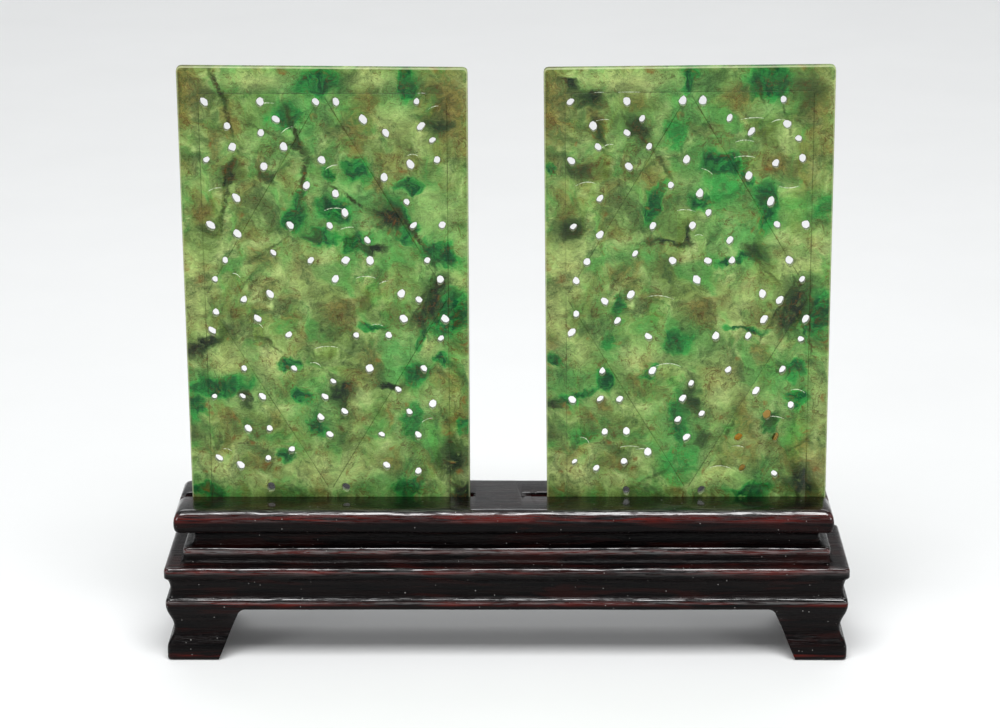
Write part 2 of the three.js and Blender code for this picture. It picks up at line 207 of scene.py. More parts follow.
# Dark veins: from and to, across and down, then the half width and the strength
VEINS = {
    "plaque_left": [
        (7.9, 1.5, 10.7, 7.5, 0.7, 1), (10.7, 7.5, 11.8, 14, 0.6, 0.9), (11.6, 22, 9, 36, 0.6, 0.8),
        (24, 9, 28.5, 21, 0.8, 0.9), (28.6, 20, 27.4, 29, 0.6, 0.9), (34.5, 27.5, 43, 32.6, 0.5, 0.9),
        (48, 31.5, 56, 43.6, 0.5, 0.9), (14, 12, 24, 16, 0.4, 0.5), (17, 62, 22, 66.5, 0.4, 0.6),
        (36, 78, 35.6, 82, 0.6, 0.8), (57, 48, 52, 58, 0.4, 0.7), (58, 80, 62.5, 90, 0.4, 0.6),
        (15, 45, 23, 39.5, 0.35, 0.6), (12, 53, 16, 47, 0.35, 0.4), (38, 62, 38.5, 66, 0.3, 0.5),
    ],
    "plaque_right": [
        (18, 11.5, 24, 18, 0.5, 0.8), (24, 18, 28.5, 25, 0.5, 0.7), (22, 41, 32, 41, 0.4, 0.8),
        (47.5, 3, 49, 8, 0.5, 0.7), (33.5, 44, 34, 48, 0.35, 0.6), (46, 42, 52, 49, 0.35, 0.6),
        (50, 62, 57, 49.4, 0.35, 0.9), (57, 49.4, 59.6, 54, 0.35, 0.9), (60.5, 52, 60.6, 65, 0.3, 0.9),
        (59.5, 54.5, 57.5, 60, 0.25, 0.7), (9, 37.5, 5, 39.5, 0.5, 0.5), (55, 92, 61, 87.5, 0.4, 0.5),
        (20, 100, 27, 95.5, 0.5, 0.5), (44, 82, 40, 90, 0.5, 0.5), (53.5, 8, 55, 15, 0.4, 0.6),
    ],
}

# Short bowed strokes: middle across and down, length, bow and turn in degrees
STROKES = {
    "plaque_left": [
        (7.8, 27.8, 3, 0.3, -15), (18.6, 7.4, 2.2, 0.2, -25), (20, 8, 3.4, 0.2, -3),
        (57.3, 8.9, 2.4, 0.2, -20), (34.3, 22.6, 3, 0.3, -20), (34.6, 32.6, 4.4, 0.5, -3),
        (37.3, 37, 3.6, 0.3, -12), (41.5, 48.7, 4.6, 0.5, 0), (45.6, 49.7, 2.4, 0.2, -20),
        (32, 65.5, 5.6, 0.5, -4), (29.6, 69.5, 2.6, 0.5, 20), (55.2, 83, 2.8, 0.3, -22),
        (23.8, 91.3, 1.8, 0.2, -12), (54.7, 5.7, 2.4, 0.1, 0), (8.6, 90.4, 2, 0.3, 15),
        (24.5, 14, 3, 0.3, -30), (16.5, 60, 2.6, 0.5, 25), (44, 60, 2.6, 0.3, 5), (52.5, 20, 2.4, 0.4, 0),
        (12, 48, 2, 0.3, 30),
    ],
    "plaque_right": [
        (13, 12, 3.2, 0.2, -6), (14.2, 18, 2.8, 0.4, -18), (9.3, 26.8, 4.6, 0.6, -6),
        (12.5, 5.7, 3.4, 0.1, 0), (19, 5.7, 6.4, 0.1, 0), (46.5, 12, 5.2, 0.3, -3), (45, 17.3, 4.4, 0.5, 0),
        (45, 20.9, 4.8, 0.4, 0), (55, 27.5, 4.6, -0.5, 0), (32, 33.2, 4.2, 0.4, 4), (34.8, 39, 2, 0.3, 0),
        (26.2, 53.7, 6.2, 0.6, 6), (40.4, 95.2, 5, 0.6, 3), (52.6, 83, 4.8, 0.5, 4),
        (19.2, 89.8, 4.4, 0.3, 0), (22.2, 90.4, 3, 0.2, 0), (44.3, 90, 3, 0.3, 3), (28, 70.2, 6, 0.8, 0),
        (52.5, 12.6, 3.4, 0.4, -8), (36.5, 24, 3, 0.3, 30), (58, 76.5, 3.4, 0.5, 12),
        (8.8, 88, 2.6, 0.5, 35),
    ],
}

# The right plaque's four stopped piercings, across and down, and how orange the matter in each is
STOPPED = [(51.2, 82.1, 0.45), (44.7, 87.9, 1), (53.1, 87.9, 0.4), (45.6, 95.3, 0.6)]
STOP_REACH = 2.2


def srgb(red, green, blue):
    """A colour given in the 0 to 255 of a paint chart, as the shader wants it."""
    def linear(value):
        value /= 255
        return value / 12.92 if value <= 0.04045 else ((value + 0.055) / 1.055) ** 2.4
    return (linear(red), linear(green), linear(blue), 1)


# Tints of the stone: its clouds from dark to pale, its placed patches and veins, its seams, specks and
# marks, and painted light on its bores, edges and strokes
CLOUD_TINTS = (
    (0.36, srgb(84, 104, 50)), (0.44, srgb(104, 130, 68)), (0.5, srgb(120, 148, 84)),
    (0.57, srgb(142, 166, 102)), (0.65, srgb(166, 186, 122)),
)
LEAF_GREEN = srgb(70, 142, 66)
OLIVE_BROWN = srgb(116, 104, 54)
MOSS_GREEN = srgb(60, 84, 44)
FRESH_GREEN = srgb(78, 146, 76)
CREAM_GREEN = srgb(170, 184, 118)
DARK_UMBER = srgb(64, 50, 20)
PALE_UMBER = srgb(124, 112, 58)
BRIGHT_EMERALD = srgb(38, 138, 60)
DEEP_EMERALD = srgb(6, 68, 36)
SLATE_EDGE = srgb(52, 76, 38)
SLATE_HEART = srgb(18, 32, 20)
VEIN_EDGE = srgb(48, 66, 28)
VEIN_HEART = srgb(34, 32, 14)
SEAM_BROWN = srgb(78, 54, 22)
WISP_BROWN = srgb(96, 70, 30)
THREAD_GREEN = srgb(36, 62, 26)
SMOKE_GREEN = srgb(44, 74, 36)
RUST = srgb(122, 72, 26)
PIN_BROWN = srgb(46, 40, 18)
# A darker olive laid on the chamfers round each piercing
DARK_RIM_OLIVE = srgb(86, 80, 46)
# Painted light: a pale tint that lightens the piercings' walls against their shade
PAINTED_BORE_LIGHT = srgb(180, 196, 150)
# Painted highlight: a pale tint on the plaque's bevelled edges
PAINTED_EDGE_HIGHLIGHT = srgb(206, 212, 170)
DARK_LINE = srgb(50, 58, 30)
# Painted glint: a near-white highlight laid on the incised strokes' grooves
PAINTED_STROKE_GLINT = srgb(222, 232, 206)
# The amber matter's own colour, lightened as a painted glow of light through the stone
PALE_AMBER_AND_GLOW = srgb(250, 212, 136)
ORANGE_AMBER_AND_GLOW = srgb(255, 182, 66)

# Tints of the wood
BLACK_LACQUER = srgb(2, 2, 3)
BROWN_LACQUER = srgb(14, 8, 8)
RED_GRAIN = srgb(36, 10, 8)
WORN_RED = srgb(92, 20, 12)
DUST_GREY = srgb(190, 188, 184)


def take_up(piece):
    bpy.ops.object.select_all(action="DESELECT")
    piece.select_set(True)
    bpy.context.view_layer.objects.active = piece


def edit(piece, mode="FACE"):
    take_up(piece)
    bpy.ops.object.mode_set(mode="EDIT")
    bpy.ops.mesh.select_mode(type=mode)
    bpy.ops.mesh.select_all(action="DESELECT")


def fresh_form(piece):
    """The mesh being edited, with its normals worked out."""
    form = bmesh.from_edit_mesh(piece.data)
    form.normal_update()
    return form


def show_form(piece):
    """Passes a choice of vertices, edges or faces on to the operators."""
    bmesh.from_edit_mesh(piece.data).select_flush_mode()
    bmesh.update_edit_mesh(piece.data)


def leave():
    bpy.ops.object.mode_set(mode="OBJECT")


def draw_in(half_sizes, before, after, middle=(0, 0, 0)):
    """Resizes what is chosen, as its setback from the full length and depth goes from one to another."""
    ratio = [(half - after) / (half - before) for half in half_sizes]
    bpy.ops.transform.resize(value=(*ratio, 1), center_override=middle)


def choose(piece, edges=None, faces=None):
    """In edit mode, adds the edges or faces that pass a test to what is selected."""
    form = fresh_form(piece)
    for part in form.edges if edges else form.faces:
        if (edges or faces)(part):
            part.select_set(True)
    show_form(piece)


def finish_with(piece, kind, **settings):
    """Adds a modifier and applies it."""
    take_up(piece)
    modifier = piece.modifiers.new(kind.lower(), kind)
    for name, value in settings.items():
        setattr(modifier, name, value)
    bpy.ops.object.modifier_apply(modifier=modifier.name)


def cut(piece, tool):
    """Cuts one closed tool out of a piece, and puts the tool away."""
    finish_with(piece, "BOOLEAN", operation="DIFFERENCE", solver="MANIFOLD", object=tool)
    bpy.data.objects.remove(tool)
    take_up(piece)


def ease_edges(piece, width, degrees):
    """Rounds the edges that turn more sharply than an angle."""
    limit = math.radians(degrees)
    finish_with(piece, "BEVEL", width=width, segments=2, limit_method="ANGLE", angle_limit=limit)


def smooth(piece, degrees):
    take_up(piece)
    bpy.ops.object.shade_smooth_by_angle(angle=math.radians(degrees))


def box_tool(low, high):
    """A box from its lowest to its highest corner."""
    low, high = Vector(low), Vector(high)
    bpy.ops.object.select_all(action="DESELECT")
    bpy.ops.mesh.primitive_cube_add(size=1, location=(low + high) / 2, scale=high - low)
    bpy.ops.object.transform_apply(location=True, rotation=True, scale=True)
    return bpy.context.object


# Shader nodes
class Sheet:
    """A tree of shader nodes, written one short call at a time."""

    def __init__(self, tree):
        self.tree = tree

    def node(self, kind, inputs=(), **settings):
        made = self.tree.nodes.new(kind)
        for name, value in settings.items():
            setattr(made, name, value)
        for key, value in dict(inputs).items():
            self.feed(made.inputs[key], value)
        return made

    def feed(self, socket, value):
        if isinstance(value, bpy.types.NodeSocket):
            self.tree.links.new(value, socket)
        else:
            socket.default_value = value

    def math(self, operation, first, second=0.0):
        return self.node("ShaderNodeMath", {0: first, 1: second}, operation=operation).outputs[0]

    def times(self, first, second):
        return self.math("MULTIPLY", first, second)

    def vector(self, operation, first, second):
        made = self.node("ShaderNodeVectorMath", {0: first, 1: second}, operation=operation)
        return made.outputs["Value" if operation == "DOT_PRODUCT" else "Vector"]

    def mix(self, amount, first, second, blend="MIX"):
        made = self.node("ShaderNodeMix", data_type="RGBA", blend_type=blend)
        for name, value in (("Factor_Float", amount), ("A_Color", first), ("B_Color", second)):
            self.feed(next(s for s in made.inputs if s.identifier == name), value)
        return next(s for s in made.outputs if s.identifier == "Result_Color")

    def lay(self, under, tint, mask, strength):
        """Lays a tint over a colour, where a mask says and as strongly as told."""
        return self.mix(self.times(mask, strength), under, tint)

    def marked(self, attribute):
        """A value that the mesh holds on its own faces or points."""
        return self.node("ShaderNodeAttribute", attribute_name=attribute).outputs["Fac"]

    def span(self, value, low, high, to_low=0.0, to_high=1.0):
        """Value between low and high, brought smoothly to the other two."""
        inputs = {"Value": value, "From Min": low, "From Max": high, "To Min": to_low, "To Max": to_high}
        return self.node("ShaderNodeMapRange", inputs, interpolation_type="SMOOTHSTEP").outputs["Result"]

    def cloud(self, place, scale, detail=4.0, rough=0.5, twist=0.0):
        inputs = {"Vector": place, "Scale": scale, "Detail": detail, "Roughness": rough, "Distortion": twist}
        return self.node("ShaderNodeTexNoise", inputs)

    def map(self, place, scale=(1, 1, 1), turn=(0, 0, 0), move=(0, 0, 0)):
        inputs = {"Vector": place, "Location": move, "Rotation": turn, "Scale": scale}
        return self.node("ShaderNodeMapping", inputs).outputs[0]

    def sway(self, place, scale, amount, detail=2.0):
        """The place, pushed about by cloudy noise."""
        colour = self.cloud(place, scale, detail).outputs["Color"]
        middle = self.vector("SUBTRACT", colour, (0.5, 0.5, 0.5))
        push = self.node("ShaderNodeVectorMath", {0: middle, "Scale": amount}, operation="SCALE").outputs[0]
        return self.vector("ADD", place, push)

    def group(self, name, **values):
        made = self.node("ShaderNodeGroup", node_tree=bpy.data.node_groups[name])
        for key, value in values.items():
            self.feed(made.inputs[key.replace("_", " ").capitalize()], value)
        return made.outputs[0]


def new_group(name, inputs, output):
    """An empty shader group with named sockets, its input node's outputs and a call that closes it."""
    tree = bpy.data.node_groups.new(name, "ShaderNodeTree")
    for label, (kind, value) in inputs.items():
        socket = tree.interface.new_socket(label, in_out="INPUT", socket_type=kind)
        socket.default_value = value
    tree.interface.new_socket(output, in_out="OUTPUT", socket_type="NodeSocketFloat")
    sheet = Sheet(tree)
    arrivals = sheet.node("NodeGroupInput").outputs
    def close(value):
        sheet.node("NodeGroupOutput", {0: value})
    return sheet, arrivals, close


FLOAT, VECTOR = "NodeSocketFloat", "NodeSocketVector"


def make_patch_group():
    """Adds one soft-edged oval patch to those before it: 1 inside, 0 outside, at any depth of the stone."""
    sheet, given, close = new_group(
        "patch",
        {"Place": (VECTOR, (0, 0, 0)), "Middle": (VECTOR, (0, 0, 0)), "Across": (VECTOR, (1, 0, 0)),
         "Along": (VECTOR, (0, 0, 1)), "Edge": (FLOAT, 0.5), "Strength": (FLOAT, 1), "Before": (FLOAT, 0)},
        "Mask",
    )
    off = sheet.vector("SUBTRACT", given["Place"], given["Middle"])
    squares = []
    for axis in ("Across", "Along"):
        reach = sheet.vector("DOT_PRODUCT", off, given[axis])
        squares.append(sheet.times(reach, reach))
    away = sheet.math("SQRT", sheet.math("ADD", *squares))
    outer = sheet.math("ADD", 1.0, given["Edge"])
    inner = sheet.math("SUBTRACT", 1.0, given["Edge"])
    mask = sheet.span(away, outer, inner, 0.0, given["Strength"])
    close(sheet.math("MAXIMUM", given["Before"], mask))


def make_speck_group():
    """Small scattered specks, each in its own cell, a share of the cells being empty."""
    sheet, given, close = new_group(
        "specks",
        {"Place": (VECTOR, (0, 0, 0)), "Scale": (FLOAT, 1), "Radius": (FLOAT, 0.1), "Share": (FLOAT, 0.3)},
        "Mask",
    )
    cells = sheet.node("ShaderNodeTexVoronoi", {"Vector": given["Place"], "Scale": given["Scale"]})
    dot = sheet.span(cells.outputs["Distance"], given["Radius"], 0.0)
    pick = sheet.node("ShaderNodeSeparateColor", {0: cells.outputs["Color"]}).outputs[0]
    close(sheet.times(dot, sheet.math("LESS_THAN", pick, given["Share"])))


def make_seam_group():
    """Thin wandering seams, along the level lines of a cloudy noise."""
    sheet, given, close = new_group(
        "seams",
        {"Place": (VECTOR, (0, 0, 0)), "Scale": (FLOAT, 1), "Width": (FLOAT, 0.02)},
        "Mask",
    )
    level = sheet.cloud(given["Place"], given["Scale"], 5.0, 0.55, 0.5).outputs["Fac"]
    away = sheet.math("ABSOLUTE", sheet.math("SUBTRACT", level, 0.5))
    close(sheet.span(away, given["Width"], 0.0))


def make_streak_group():
    """Long fine streaks along X, as grain shows in polished wood."""
    sheet, given, close = new_group(
        "streaks",
        {"Place": (VECTOR, (0, 0, 0)), "Fineness": (FLOAT, 1), "Stretch": (FLOAT, 0.05)},
        "Value",
    )
    squeeze = sheet.node("ShaderNodeCombineXYZ", {0: given["Stretch"], 1: 1.0, 2: 1.0}).outputs[0]
    place = sheet.vector("MULTIPLY", given["Place"], squeeze)
    close(sheet.cloud(place, given["Fineness"], 5.0, 0.6, 0.6).outputs["Fac"])


def make_band_group():
    """A soft band about one height."""
    sheet, given, close = new_group(
        "band",
        {"Height": (FLOAT, 0), "Middle": (FLOAT, 0), "Half": (FLOAT, 1)},
        "Mask",
    )
    away = sheet.math("ABSOLUTE", sheet.math("SUBTRACT", given["Height"], given["Middle"]))
    close(sheet.span(away, given["Half"], 0.0))


def new_material(name):
    material = bpy.data.materials.new(name)
    material.use_nodes = True
    material.node_tree.nodes.clear()
    sheet = Sheet(material.node_tree)
    shader = sheet.node("ShaderNodeBsdfPrincipled")
    sheet.node("ShaderNodeOutputMaterial", {"Surface": shader.outputs[0]})
    objects = sheet.node("ShaderNodeTexCoord").outputs["Object"]
    return material, sheet, shader, objects


def lower_left(name):
    """Where a plaque's lower left corner stands, worked out from its box and its lean."""
    low, high = (Vector(corner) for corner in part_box(name))
    lean = PLAQUE_LEAN[name]
    if lean >= 0:
        return Vector((low.x + PLAQUE_HEIGHT * math.sin(lean), 0, low.z))
    across = PLAQUE_WIDTH * math.cos(lean) - PLAQUE_HEIGHT * math.sin(lean)
    return Vector((high.x - across, 0, low.z - PLAQUE_WIDTH * math.sin(lean)))


def on_plaque(name, across, down, depth=0.0):
    """A point given in millimetres across and down a plaque's front, in the scene."""
    place = Vector((across * MM, -depth * MM, PLAQUE_HEIGHT - down * MM))
    return lower_left(name) + Matrix.Rotation(-PLAQUE_LEAN[name], 3, "Y") @ place


def stone_place(sheet, objects, name):
    """Millimetres across, through and down a plaque."""
    lean, corner = PLAQUE_LEAN[name], lower_left(name)
    sine, cosine = math.sin(lean), math.cos(lean)
    across = -(cosine * corner.x + sine * corner.z)
    down = PLAQUE_HEIGHT - sine * corner.x + cosine * corner.z
    return sheet.map(objects, (1 / MM, 1 / MM, -1 / MM), (0, -lean, 0), (across / MM, 0, down / MM))


def patches_of(sheet, place, rows, edge):
    """The strongest of a set of patches at each place."""
    total = 0.0
    for across, down, wide, high, turn, strength in rows:
        cosine, sine = math.cos(math.radians(turn)), math.sin(math.radians(turn))
        total = sheet.group(
            "patch", place=place, middle=(across, 0, down), across=(cosine / wide, 0, -sine / wide),
            along=(sine / high, 0, cosine / high), edge=edge, strength=strength, before=total,
        )
    return total


def veins_of(sheet, place, rows):
    """Long thin patches, one along each vein."""
    ovals = []
    for x0, z0, x1, z1, half, strength in rows:
        length = math.hypot(x1 - x0, z1 - z0)
        turn = -math.degrees(math.atan2(z1 - z0, x1 - x0))
        ovals.append(((x0 + x1) / 2, (z0 + z1) / 2, 0.66 * length, 0.95 * half, turn, strength))
    return patches_of(sheet, place, ovals, 0.8)


def stone_clouds(sheet, swayed):
    """The ground of the stone: clouds from dark to pale olive, as a value and as a colour."""
    clouds = sheet.cloud(swayed, 0.13, 6.0, 0.62, 0.4).outputs["Fac"]
    ramp = sheet.node("ShaderNodeValToRGB", {"Fac": clouds})
    for position, tint in CLOUD_TINTS:
        stop = ramp.color_ramp.elements.new(position)
        stop.color = tint
    for spare in (ramp.color_ramp.elements[-1], ramp.color_ramp.elements[0]):
        ramp.color_ramp.elements.remove(spare)
    return clouds, ramp.outputs["Color"]


def lay_patches(sheet, colour, patches, swayed, frayed, fray):
    """The placed patches, one kind over another, their edges frayed and broken."""
    breaks = sheet.span(fray, 0.32, 0.52, 0.55, 1.0)
    green = sheet.times(patches_of(sheet, frayed, patches["green"], 0.8), breaks)
    colour = sheet.lay(colour, FRESH_GREEN, green, 0.7)
    pale = sheet.times(patches_of(sheet, swayed, patches["pale"], 0.85), breaks)
    colour = sheet.lay(colour, CREAM_GREEN, pale, 0.75)
    brown = sheet.times(patches_of(sheet, frayed, patches["brown"], 0.95), breaks)
    umber = sheet.mix(sheet.span(fray, 0.38, 0.6), DARK_UMBER, PALE_UMBER)
    colour = sheet.mix(sheet.span(brown, 0.0, 1.0, 0.0, 0.8), colour, umber)
    emerald = patches_of(sheet, frayed, patches["emerald"], 0.6)
    colour = sheet.lay(colour, BRIGHT_EMERALD, sheet.span(emerald, 0.0, 0.6, 0.0, 0.9), breaks)
    clear = sheet.span(fray, 0.62, 0.42, 0.35, 1.0)
    colour = sheet.lay(colour, DEEP_EMERALD, sheet.span(emerald, 0.35, 0.9), clear)
    dark = patches_of(sheet, frayed, patches["dark"], 0.8)
    colour = sheet.lay(colour, SLATE_EDGE, sheet.span(dark, 0.0, 0.5, 0.0, 0.8), breaks)
    return sheet.lay(colour, SLATE_HEART, sheet.span(dark, 0.35, 0.85), breaks)


def lay_veins(sheet, colour, rows, thin, fray):
    """The placed dark veins, torn into wisps."""
    veins = veins_of(sheet, thin, rows)
    torn = sheet.span(fray, 0.38, 0.54, 0.2, 1.0)
    colour = sheet.lay(colour, VEIN_EDGE, sheet.span(veins, 0.0, 0.6, 0.0, 0.75), torn)
    return sheet.lay(colour, VEIN_HEART, sheet.span(veins, 0.5, 1.0, 0.0, 0.9), torn)


def lay_seams(sheet, colour, parts, swayed, frayed, thin):
    """Wandering seams, brown where the stone is stained and green where it is mossy."""
    stain = sheet.span(parts[1], 0.4, 0.56, 0.15, 1.0)
    moss = sheet.span(parts[2], 0.42, 0.58, 0.1, 1.0)
    rows = (
        (SEAM_BROWN, frayed, 0.16, 0.016, stain, 0.75),
        (WISP_BROWN, thin, 0.24, 0.014, stain, 0.6),
        (THREAD_GREEN, thin, 0.42, 0.02, moss, 0.6),
        (SMOKE_GREEN, swayed, 0.11, 0.06, moss, 0.45),
    )
    for tint, where, scale, width, share, strength in rows:
        seam = sheet.group("seams", place=where, scale=scale, width=width)
        colour = sheet.lay(colour, tint, sheet.times(seam, share), strength)
    return colour


def lay_grain(sheet, colour, place, swayed, frayed):
    """Shades the stone by fibres, hairs, fine mottle and broad billows, and gives the mottle too."""
    along_fibres = sheet.map(swayed, (1.1, 1, 5.5), (0, math.radians(52), 0))
    fibres = sheet.cloud(along_fibres, 0.9, 4.0, 0.7).outputs["Fac"]
    along_hairs = sheet.map(frayed, (6, 1, 1), (0, math.radians(-18), 0))
    hairs = sheet.cloud(along_hairs, 0.8, 4.0, 0.7).outputs["Fac"]
    mottle = sheet.cloud(place, 2.6, 3.0, 0.75).outputs["Fac"]
    billow = sheet.cloud(frayed, 0.2, 5.0, 0.6).outputs["Fac"]
    grain = sheet.span(fibres, 0.3, 0.7, -0.2, 0.2)
    grain = sheet.math("ADD", grain, sheet.span(hairs, 0.3, 0.7, -0.14, 0.14))
    grain = sheet.math("ADD", grain, sheet.span(mottle, 0.3, 0.7, -0.08, 0.08))
    grain = sheet.math("ADD", grain, sheet.span(billow, 0.36, 0.64, 0.78, 1.2))
    warm = sheet.times(grain, 0.9)
    shade = sheet.node("ShaderNodeCombineColor", {0: grain, 1: grain, 2: warm}).outputs[0]
    return sheet.mix(1.0, colour, shade, "MULTIPLY"), mottle


def lay_marks(sheet, colour, clouds, mottle, frayed, thin):
    """Specks in the stone, and on what the hand left: a darker tint on the rims and incised lines, the bores
    lightened as painted light, a painted highlight on the edges and a painted glint on the strokes.
    """
    rust = sheet.group("specks", place=frayed, scale=0.3, radius=0.34, share=0.22)
    colour = sheet.lay(colour, RUST, rust, 0.6)
    pins = sheet.group("specks", place=thin, scale=0.85, radius=0.16, share=0.35)
    colour = sheet.lay(colour, PIN_BROWN, pins, 0.7)
    # A darker tint on the rim chamfers, and painted light: the bore walls lightened against their shade and
    # the bevelled edges given a painted highlight
    worked = (("rim", DARK_RIM_OLIVE, 0.4), ("bore", PAINTED_BORE_LIGHT, 0.3), ("edge", PAINTED_EDGE_HIGHLIGHT, 0.35))
    for attribute, tint, strength in worked:
        colour = sheet.lay(colour, tint, sheet.marked(attribute), strength)
    colour = sheet.lay(colour, DARK_LINE, sheet.marked("line"), sheet.span(clouds, 0.4, 0.6, 0.1, 0.5))
    # Painted glint on the incised strokes' grooves, stronger where the mottle is pale
    return sheet.lay(colour, PAINTED_STROKE_GLINT, sheet.marked("painted_glint"), sheet.span(mottle, 0.4, 0.56, 0.1, 0.9))


def lay_amber(sheet, colour, place):
    """The matter in the stopped piercings, each with its own share of orange, lightened near white as a
    painted glow of light shining through the stone.
    """
    pit = sheet.marked("pit")
    for across, down, orange in STOPPED:
        spot = patches_of(sheet, place, [(across, down, STOP_REACH, STOP_REACH, 0, 1)], 0.1)
        # Amber matter with a painted glow, laid on each pit floor
        colour = sheet.lay(colour, sheet.mix(orange, PALE_AMBER_AND_GLOW, ORANGE_AMBER_AND_GLOW), spot, pit)
    return colour


def make_jade(name):
    """Polished jade: olive green clouds with emerald, brown, dark and pale patches, veins and fibres."""
    material, sheet, shader, objects = new_material("jade_" + name.removeprefix("plaque_"))
    place = stone_place(sheet, objects, name)
    swayed = sheet.sway(sheet.sway(place, 0.09, 4.5), 0.3, 3.4)
    frayed = sheet.sway(sheet.sway(swayed, 0.24, 4.5), 0.9, 1.7, 3.0)
    thin = sheet.sway(sheet.sway(place, 0.3, 2.2), 0.9, 1.3, 3.0)

    clouds, colour = stone_clouds(sheet, swayed)
    broad = sheet.cloud(swayed, 0.12, 5.0, 0.55, 0.8).outputs["Color"]
    parts = sheet.node("ShaderNodeSeparateColor", {0: broad}).outputs
    fray = sheet.cloud(frayed, 0.55, 5.0, 0.65).outputs["Fac"]
    colour = sheet.mix(sheet.span(parts[0], 0.46, 0.64, 0, 0.75), colour, LEAF_GREEN)
    colour = sheet.mix(sheet.span(parts[1], 0.46, 0.66, 0, 0.6), colour, OLIVE_BROWN)
    colour = sheet.mix(sheet.span(parts[2], 0.5, 0.66, 0, 0.6), colour, MOSS_GREEN)
    colour = lay_patches(sheet, colour, PATCHES[name], swayed, frayed, fray)
    colour = lay_veins(sheet, colour, VEINS[name], thin, fray)
    colour = lay_seams(sheet, colour, parts, swayed, frayed, thin)
    colour, mottle = lay_grain(sheet, colour, place, swayed, frayed)
    colour = lay_marks(sheet, colour, clouds, mottle, frayed, thin)
    if name == "plaque_right":
        colour = lay_amber(sheet, colour, place)

    scuffs = sheet.cloud(sheet.map(place, (1, 1, 9), (0, 0.3, 0)), 0.7, 4.0, 0.7).outputs["Fac"]
    sheet.feed(shader.inputs["Base Color"], colour)
    sheet.feed(shader.inputs["Roughness"], sheet.span(scuffs, 0.3, 0.7, 0.2, 0.42))
    shader.inputs["IOR"].default_value = 1.5
    shader.inputs["Specular IOR Level"].default_value = 0.22
    shader.inputs["Subsurface Weight"].default_value = 0.12
    shader.inputs["Subsurface Radius"].default_value = (0.8, 1.2, 0.6)
    shader.inputs["Subsurface Scale"].default_value = 0.8 * MM
    bump = sheet.node("ShaderNodeBump", {"Strength": 0.12, "Distance": 0.1 * MM, "Height": mottle})
    sheet.feed(shader.inputs["Normal"], bump.outputs[0])
    return material


# Noses of the moulding that hands have rubbed to a gleam: setback, height and reach
GLEAMING = [(4.0, 35.3, 2.4), (4.4, 26.2, 1.5), (0.3, 22.8, 1.0), (0.3, 15.0, 1.1)]
# Height from which the top has a broad sheen of its own
TOP_SHEEN = 35.6
# Heights of those worn to the red wood, and half of each band
WORN = [(34.3, 1.5), (25.6, 0.8), (22.3, 0.9), (14.2, 0.9), (1.2, 0.6)]


def make_hardwood():
    """Near-black lacquered hardwood, worn to dark red along its noses, with long grain and settled dust."""
    material, sheet, shader, objects = new_material("hardwood")
    place = sheet.map(objects, (1 / MM, 1 / MM, 1 / MM))
    height = sheet.node("ShaderNodeSeparateXYZ", {0: sheet.sway(place, 0.12, 0.8)}).outputs["Z"]
    grain = sheet.group("streaks", place=place, fineness=1.1, stretch=0.05)
    fine = sheet.group("streaks", place=place, fineness=3.4, stretch=0.06)
    broad = sheet.group("streaks", place=place, fineness=0.35, stretch=0.12)

    colour = sheet.mix(sheet.span(grain, 0.35, 0.65), BLACK_LACQUER, BROWN_LACQUER)
    colour = sheet.mix(sheet.span(broad, 0.5, 0.64, 0, 0.6), colour, RED_GRAIN)
    worn = 0.0
    for middle, half in WORN:
        band = sheet.group("band", height=height, middle=middle, half=half)
        worn = band if worn == 0.0 else sheet.math("MAXIMUM", worn, band)
    worn = sheet.times(worn, sheet.span(grain, 0.36, 0.56))
    worn = sheet.times(worn, sheet.span(broad, 0.36, 0.6, 0.25, 1.0))
    colour = sheet.lay(colour, WORN_RED, worn, 0.85)
    rubbed = sheet.span(sheet.marked("gleam"), 0.0, 0.6)
    gleam = sheet.times(rubbed, sheet.span(fine, 0.42, 0.56, 0.1, 1.0))
    level = sheet.node("ShaderNodeSeparateXYZ", {0: place}).outputs["Z"]
    gleam = sheet.math("MAXIMUM", gleam, sheet.span(level, TOP_SHEEN, TOP_SHEEN + 0.3, 0.0, 0.5))
    sheet.feed(shader.inputs["Coat Weight"], gleam)
    shader.inputs["Coat Roughness"].default_value = 0.09
    shader.inputs["Coat IOR"].default_value = 2.0

    dust = sheet.group("specks", place=place, scale=0.5, radius=0.1, share=0.5)
    drawn_out = sheet.map(place, (1, 1, 0.5), (0.4, 0.9, 0))
    fluff = sheet.group("specks", place=drawn_out, scale=1.2, radius=0.14, share=0.1)
    dust = sheet.math("MAXIMUM", dust, fluff)
    colour = sheet.lay(colour, DUST_GREY, dust, 0.75)

    sheet.feed(shader.inputs["Base Color"], colour)
    rough = sheet.span(fine, 0.3, 0.7, 0.12, 0.3)
    sheet.feed(shader.inputs["Roughness"], sheet.math("ADD", rough, sheet.times(dust, 0.4)))
    shader.inputs["IOR"].default_value = 1.2
    relief = sheet.math("ADD", grain, sheet.times(fine, 0.5))
    bump = sheet.node("ShaderNodeBump", {"Strength": 0.8, "Distance": 0.25 * MM, "Height": relief})
    sheet.feed(shader.inputs["Normal"], bump.outputs[0])
    return material


# Plaques
def stroke_points(across, down, length, bow, turn):
    """Points along one bowed stroke, in millimetres across and down."""
    steps = 8
    points = []
    for i in range(steps + 1):
        along = i / steps - 0.5
        x, rise = along * length, bow * (1 - 4 * along * along)
        cosine, sine = math.cos(math.radians(turn)), math.sin(math.radians(turn))
        points.append((across + x * cosine + rise * sine, down + x * sine - rise * cosine))
    return points


